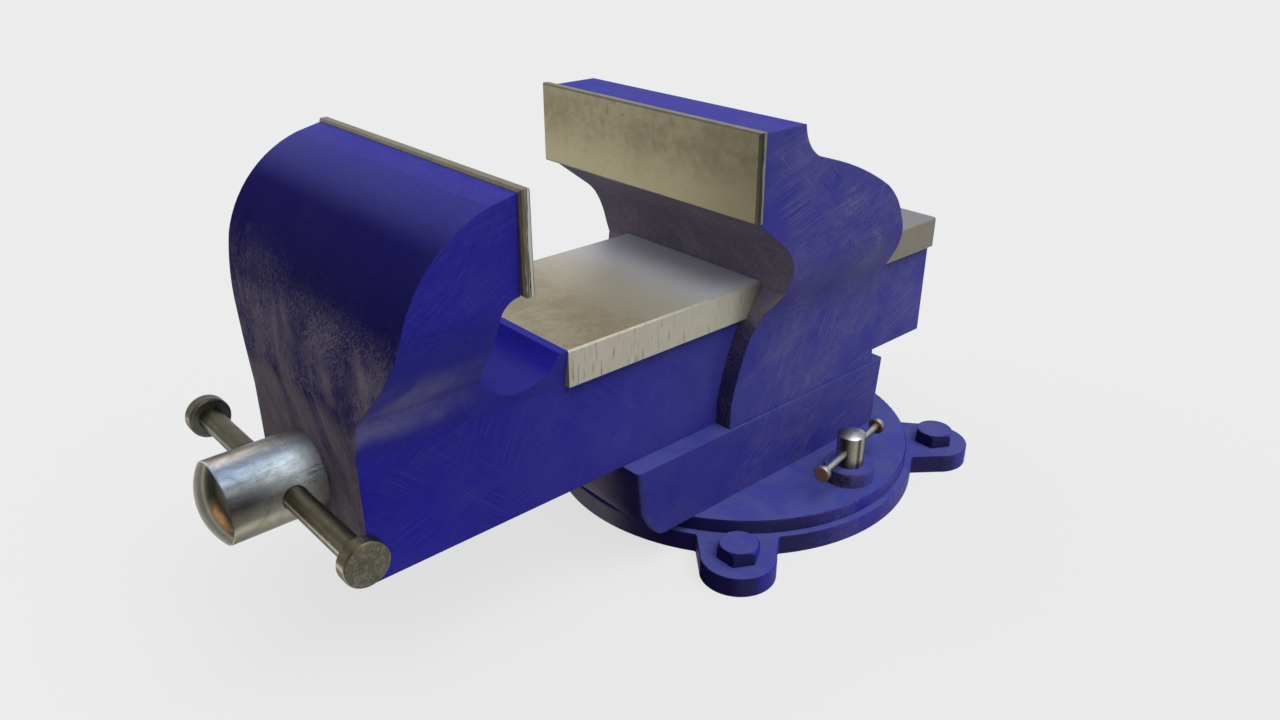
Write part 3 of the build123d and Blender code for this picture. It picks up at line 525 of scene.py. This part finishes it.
def screw_steel():
    """The lead screw: painted reflections, bright and dark bands along the head's barrel, plainer towards
    the jaw.
    """
    g = Graph("steel_screw")
    across = (0.53, 0.0, -0.848)
    # Painted reflections: bright and dark bands round the head's barrel.
    barrel = g.painted_light_bands(across, (
        (-1.0, (0.045, 0.035, 0.024)), (-0.93, (0.055, 0.045, 0.030)), (-0.84, (0.40, 0.36, 0.28)),
        (-0.76, (0.46, 0.45, 0.44)), (-0.62, (0.17, 0.21, 0.30)), (-0.43, (0.115, 0.150, 0.205)),
        (-0.31, (0.125, 0.155, 0.195)), (-0.20, (0.062, 0.070, 0.078)), (-0.04, (0.070, 0.078, 0.080)),
        (0.08, (0.050, 0.055, 0.060)), (0.28, (0.018, 0.017, 0.016)), (0.42, (0.07, 0.067, 0.052)),
        (0.62, (0.16, 0.152, 0.118)), (0.74, (0.46, 0.44, 0.34)), (0.84, (0.25, 0.235, 0.175)),
        (0.94, (0.08, 0.075, 0.054)), (1.0, (0.05, 0.046, 0.035)),
    ))
    # Plainer painted reflections towards the jaw.
    plain = g.painted_light_bands(across, (
        (-1.0, (0.16, 0.165, 0.16)), (-0.6, (0.22, 0.250, 0.29)), (-0.1, (0.30, 0.335, 0.36)),
        (0.3, (0.38, 0.400, 0.39)), (0.8, (0.44, 0.425, 0.36)), (1.0, (0.20, 0.190, 0.155)),
    ))
    middle = (screw_low.y + face) / 2
    color = g.mix(g.step(g.y, middle - 0.012, middle + 0.018, 0.05, 0.85), barrel, plain)
    color = g.mix(g.step(g.ny, -0.70, -0.76), color, screw_dome(g))
    return turned_steel(g, color, (0.13, 0.085, 0.04), "Y", 0.27, 2.0, 0.30)


def handle_steel():
    """The T-bar and its caps: brown steel with painted reflections, dark bands and a bright painted
    highlight line round the bar, the left arm in painted shade.
    """
    g = Graph("steel_handle")
    # Painted reflections: dark bands and one bright painted highlight line round the bar.
    round_bar = g.painted_light_bands((0.0, -0.875, -0.485), (
        (-1.0, (0.03, 0.025, 0.017)), (-0.80, (0.09, 0.082, 0.056)), (-0.58, (0.17, 0.155, 0.108)),
        (-0.40, (0.095, 0.083, 0.054)), (-0.15, (0.048, 0.040, 0.024)), (0.10, (0.034, 0.027, 0.016)),
        (0.35, (0.080, 0.066, 0.040)), (0.64, (0.105, 0.090, 0.056)), (0.76, (0.62, 0.58, 0.44)),
        (0.86, (0.12, 0.105, 0.070)), (1.0, (0.025, 0.021, 0.014)),
    ))
    shaded_brown, inner_grey = (0.034, 0.026, 0.015), (0.115, 0.120, 0.105)
    dark_khaki, khaki = (0.105, 0.096, 0.070), (0.195, 0.182, 0.146)
    # Painted shade on the left arm.
    left_arm = g.step(g.x, -0.010, -0.030)
    round_bar = g.mix(g.times(left_arm, 0.5), round_bar, shaded_brown)
    blotches = g.step(g.noise(0.0014, 4.0, 0.75, 8.0), 0.46, 0.66)
    outside = g.step(g.size(g.x), handle_high.x - 0.004, handle_high.x - 0.002)
    ends = g.mix(outside, inner_grey, g.mix(blotches, dark_khaki, khaki))
    color = g.mix(g.step(g.size(g.nx), 0.80, 0.92), round_bar, ends)
    return turned_steel(g, color, (0.085, 0.062, 0.034), "X", 0.30, 3.0, 0.55)


def lock_steel():
    """The lock screws' heads: polished, with painted reflections, bright and dark bands and a pale crown."""
    g = Graph("steel_lock_screw")
    across = (0.824, 0.566, 0.0)
    # Painted reflections: bright and dark bands round the barrel.
    barrel = g.painted_light_bands(across, (
        (-1.0, (0.04, 0.035, 0.025)), (-0.88, (0.70, 0.66, 0.54)), (-0.70, (0.34, 0.24, 0.13)),
        (-0.45, (0.055, 0.042, 0.025)), (-0.20, (0.10, 0.09, 0.06)), (0.10, (0.26, 0.245, 0.19)),
        (0.40, (0.42, 0.40, 0.33)), (0.60, (0.04, 0.034, 0.024)), (0.80, (0.46, 0.45, 0.40)),
        (1.0, (0.06, 0.055, 0.045)),
    ))
    # The crown's pale middle is a painted highlight.
    crown = g.painted_light_bands(across, (
        (-0.55, (0.13, 0.12, 0.085)), (-0.25, (0.40, 0.39, 0.33)), (0.0, (0.60, 0.60, 0.56)),
        (0.25, (0.42, 0.46, 0.52)), (0.55, (0.20, 0.20, 0.19)),
    ))
    color = g.mix(g.step(g.nz, 0.45, 0.75), barrel, crown)
    return turned_steel(g, color, (0.12, 0.085, 0.045), "Z", 0.20, 4.0, 0.30)


def tommy_steel():
    """The lock screws' bars and caps: painted light and shade, pale cold steel above and brown below, and a
    coppery painted warm reflection on the ends.
    """
    g = Graph("steel_tommy_bar")
    # Painted light and shade: pale cold steel on top, dark brown underneath.
    color = g.painted_light_bands((0.0, 0.0, -1.0), (
        (-1.0, (0.52, 0.56, 0.60)), (-0.70, (0.40, 0.43, 0.45)), (-0.20, (0.17, 0.16, 0.13)),
        (0.20, (0.08, 0.07, 0.05)), (1.0, (0.05, 0.045, 0.035)),
    ))
    # A painted warm reflection on the faces turned to -Y.
    warm_reflection = (0.33, 0.19, 0.085)
    color = g.mix(g.step(g.ny, -0.80, -0.92), color, warm_reflection)
    return turned_steel(g, color, (0.11, 0.075, 0.038), "Y", 0.26, 9.0, 0.45)


def hidden_metal(name, light, dark, axis, rough, seed):
    """Turned parts that are mostly hidden: one tone, blotted darker."""
    g = Graph(name)
    color = g.mix(g.step(g.noise(0.014, 5.0, 0.7, seed), 0.35, 0.62), light, dark)
    return turned_steel(g, color, darker(dark, 0.45), axis, rough, seed, 0.5)


# --- Dressing the pieces --------------------------------------------------------------------
def dress(material, *names):
    """Give the named pieces that material."""
    for name in names:
        if name in nodes:
            for held in nodes[name].material_slots:
                held.material = material


dress(enamel(), "base_plate", "hold_down_bolts", "swivel_body", "rear_jaw", "sliding_jaw")
dress(front_jaw_plate(), "front_jaw_plate")
dress(rear_jaw_plate(), "rear_jaw_plate")
dress(slide_bar_steel(), "slide_bar")
screw_material = screw_steel()
dress(handle_steel(), "handle_bar", "handle_caps")
dress(lock_steel(), "lock_screw_left", "lock_screw_right")
dress(tommy_steel(), "lock_bar_left", "lock_bar_right", "lock_bar_caps_left", "lock_bar_caps_right")
dress(hidden_metal("steel_dark", (0.22, 0.22, 0.22), (0.11, 0.11, 0.11), "Z", 0.38, 6.0),
      "pivot_pin", "front_plate_pins", "rear_plate_pins", "nut_bolts", "t_nuts",
      "slide_bar_screws", "thrust_collar", "collar_pin")
dress(hidden_metal("bronze_nut", (0.50, 0.35, 0.16), (0.30, 0.19, 0.08), "Y", 0.32, 7.0), "lead_screw_nut")

# --- Lead screw: domed head, cross hole and a cut thread --------------------------------------
screw_axis = 0.0928
head_radius = (screw_high.z - screw_low.z) / 2
head_end = -0.2541
handle_y = (handle_low.y + handle_high.y) / 2
handle_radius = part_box("handle_bar")[1].z - screw_axis
shank_radius = 0.011
root_radius = 0.0087
pitch = 0.005
thread_start = -0.222
thread_end = screw_high.y
thread_fade = 0.003
around = 72
dome_height = 0.006
dome_rings = 12
rim_break = 0.0006
run_out = 0.002
hole_clearance = 0.0001
drill_length = 0.06
sharp_edge = math.radians(32)
# Share of a pitch, radius: root, flank, crest, flank, root
thread_form = (
    (0.0, root_radius), (0.28, root_radius), (0.40, shank_radius), (0.78, shank_radius), (0.90, root_radius),
)


def ring(bm, y, radius):
    turn = 2 * math.pi / around
    return [
        bm.verts.new((radius * math.cos(k * turn), y, screw_axis + radius * math.sin(k * turn)))
        for k in range(around)
    ]


def add_head(bm):
    """A domed end, a small break, the barrel, and the shank up to the thread."""
    sphere = (head_radius**2 + dome_height**2) / (2 * dome_height)
    profile = []
    for part in range(1, dome_rings + 1):
        radius = (head_radius - rim_break) * part / dome_rings
        profile.append((screw_low.y + sphere - math.sqrt(sphere**2 - radius**2), radius))
    rim_y = profile[-1][0]
    profile += [
        (rim_y + rim_break / 2, head_radius - rim_break / 3),
        (rim_y + rim_break * 4 / 3, head_radius),
        (head_end, head_radius),
        (head_end, shank_radius),
        (thread_start - run_out, shank_radius),
        (thread_start, root_radius),
    ]
    tip = bm.verts.new((0, screw_low.y, screw_axis))
    rings = [ring(bm, y, radius) for y, radius in profile]
    for k in range(around):
        bm.faces.new((tip, rings[0][k], rings[0][(k + 1) % around]))
    for first, second in zip(rings, rings[1:]):
        for k in range(around):
            after = (k + 1) % around
            bm.faces.new((first[k], second[k], second[after], first[after]))


def thread_row(bm, turn, share, radius):
    """One turn of a line that climbs with the helix; it fades to the root at the thread's ends."""
    row = []
    for k in range(around):
        angle = 2 * math.pi * k / around
        y = thread_start + pitch * (turn + share + k / around)
        to_end = min(y - thread_start, thread_end - y) / thread_fade
        fade = min(1.0, max(0.0, to_end))
        y = min(max(y, thread_start), thread_end)
        r = root_radius + (radius - root_radius) * fade
        row.append(bm.verts.new((r * math.cos(angle), y, screw_axis + r * math.sin(angle))))
    return row


def add_thread(bm):
    """Rows that follow the helix, so that its crests and roots keep their edges."""
    turns = int((thread_end - thread_start) / pitch) + 2
    rows = [
        thread_row(bm, turn, share, radius)
        for turn in range(-1, turns)
        for share, radius in thread_form
    ]
    step = len(thread_form)
    for index, (row, after) in enumerate(zip(rows, rows[1:])):
        for k in range(around - 1):
            bm.faces.new((row[k], after[k], after[k + 1], row[k + 1]))
        if index + 1 + step < len(rows):
            bm.faces.new((row[-1], after[-1], rows[index + 1 + step][0], rows[index + step][0]))
    bmesh.ops.contextual_create(bm, geom=ring(bm, thread_end, root_radius))


def mesh_object(name, bm):
    """An object in the scene with the built mesh."""
    mesh = bpy.data.meshes.new(name)
    bm.to_mesh(mesh)
    bm.free()
    made = bpy.data.objects.new(name, mesh)
    scene.collection.objects.link(made)
    return made


def cross_hole_drill():
    """A cylinder across the head, for the T-bar's hole."""
    bm = bmesh.new()
    radius = handle_radius + hole_clearance
    along_x = Matrix.Translation((0, handle_y, screw_axis)) @ Matrix.Rotation(math.pi / 2, 4, "Y")
    bmesh.ops.create_cone(bm, segments=48, radius1=radius, radius2=radius, depth=drill_length,
                          matrix=along_x, cap_ends=True)
    return mesh_object("drill", bm)


def cut(target, tool):
    """Cut the tool's shape out of the target for good, and remove the tool."""
    boolean = target.modifiers.new("cross_hole", "BOOLEAN")
    boolean.operation = "DIFFERENCE"
    boolean.object = tool
    bpy.context.view_layer.update()
    shaped = target.evaluated_get(bpy.context.evaluated_depsgraph_get())
    mesh = bpy.data.meshes.new_from_object(shaped)
    target.modifiers.clear()
    target.data = mesh
    bpy.data.objects.remove(tool)


def lead_screw():
    """The piece that stands for the plain solid of the lead screw."""
    bm = bmesh.new()
    add_head(bm)
    add_thread(bm)
    bmesh.ops.remove_doubles(bm, verts=bm.verts, dist=1e-6)
    bmesh.ops.dissolve_degenerate(bm, edges=bm.edges, dist=1e-7)
    bmesh.ops.recalc_face_normals(bm, faces=bm.faces)
    screw = mesh_object("lead_screw_cut", bm)
    cut(screw, cross_hole_drill())
    screw.data.name = "lead_screw_cut"
    screw.data.shade_smooth()
    screw.data.set_sharp_from_angle(angle=sharp_edge)
    screw.data.materials.clear()
    screw.data.materials.append(screw_material)
    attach(screw, "screw")
    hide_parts("lead_screw")


lead_screw()

# --- Surroundings, floor and light ------------------------------------------------------------
pale = 0.831


def surroundings():
    """Pale where the camera or a mirroring piece sees it, a weaker cold light for everything else."""
    cold, dim = (0.88, 0.90, 1.0, 1.0), 0.26
    scene.world = bpy.data.worlds.new("studio")
    n = Nodes(scene.world)
    rays = n.node("ShaderNodeLightPath").outputs
    mirrored = n.most(rays["Is Glossy Ray"], rays["Is Transmission Ray"])
    seen = n.most(rays["Is Camera Ray"], mirrored)
    ambient = n.node("ShaderNodeBackground", {"Color": cold, "Strength": dim})
    backdrop = n.node("ShaderNodeBackground", {"Color": (pale, pale, pale, 1.0), "Strength": 1.0})
    shown = n.node("ShaderNodeMixShader", {0: seen, 1: ambient.outputs[0], 2: backdrop.outputs[0]})
    n.node("ShaderNodeOutputWorld", {"Surface": shown.outputs[0]})


def floor_material():
    """A faint glow of its own keeps the floor pale; a matte share on top takes the object's shadow."""
    white, grey = (1.0, 1.0, 1.0, 1.0), (0.130, 0.130, 0.130, 1.0)
    lit = 0.137  # how bright the lamps make the matte share
    less_for_the_object = -0.62
    g = Graph("floor")
    rays = g.node("ShaderNodeLightPath").outputs
    strength = g.math("MULTIPLY_ADD", rays["Is Diffuse Ray"], less_for_the_object, pale - lit)
    glow = g.node("ShaderNodeEmission", {"Color": white, "Strength": strength})
    matte = g.node("ShaderNodeBsdfDiffuse", {"Color": grey})
    both = g.node("ShaderNodeAddShader", {0: glow.outputs[0], 1: matte.outputs[0]})
    g.node("ShaderNodeOutputMaterial", {"Surface": both.outputs[0]})
    return g.mat


def floor():
    """A wide plane at the bench's level."""
    reach = 15
    mesh = bpy.data.meshes.new("floor")
    corners = ((-reach, -reach, 0), (reach, -reach, 0), (reach, reach, 0), (-reach, reach, 0))
    mesh.from_pydata(corners, [], [(0, 1, 2, 3)])
    mesh.materials.append(floor_material())
    made = bpy.data.objects.new("floor", mesh)
    scene.collection.objects.link(made)


def sun(name, towards, strength, spread, color=(1.0, 1.0, 1.0)):
    """A soft light shining in the direction towards."""
    data = bpy.data.lights.new(name, "SUN")
    data.energy = strength
    data.angle = math.radians(spread)
    data.color = color
    lamp = bpy.data.objects.new(name, data)
    lamp.rotation_mode = "QUATERNION"
    lamp.rotation_quaternion = Vector(towards).to_track_quat("-Z", "Y")
    scene.collection.objects.link(lamp)


surroundings()
floor()
sun("key", (-0.42, -0.02, -0.905), 2.45, 60)
sun("left", (0.72, 0.34, -0.60), 0.9, 60, (0.88, 0.94, 1.0))


# --- Camera, as found from the photograph's vanishing points -----------------------------------
def camera():
    position = (0.35252, -0.39000, 0.31249)
    azimuth = math.radians(48.04)
    down = math.radians(25.83)
    ahead = Vector((
        -math.sin(azimuth) * math.cos(down),
        math.cos(azimuth) * math.cos(down),
        -math.sin(down),
    ))
    right = Vector((math.cos(azimuth), math.sin(azimuth), 0.0))
    above = right.cross(ahead)
    eye = bpy.data.cameras.new("camera")
    eye.sensor_fit = "HORIZONTAL"
    eye.sensor_width = 36.0
    eye.lens = 28.54
    eye.clip_start = 0.01
    eye.clip_end = 100.0
    made = bpy.data.objects.new("camera", eye)
    aim = Matrix((right, above, -ahead)).transposed().to_4x4()
    made.matrix_world = Matrix.Translation(position) @ aim
    scene.collection.objects.link(made)
    scene.camera = made


camera()

# --- Scene brought up to date --------------------------------------------------------------
bpy.context.view_layer.update()
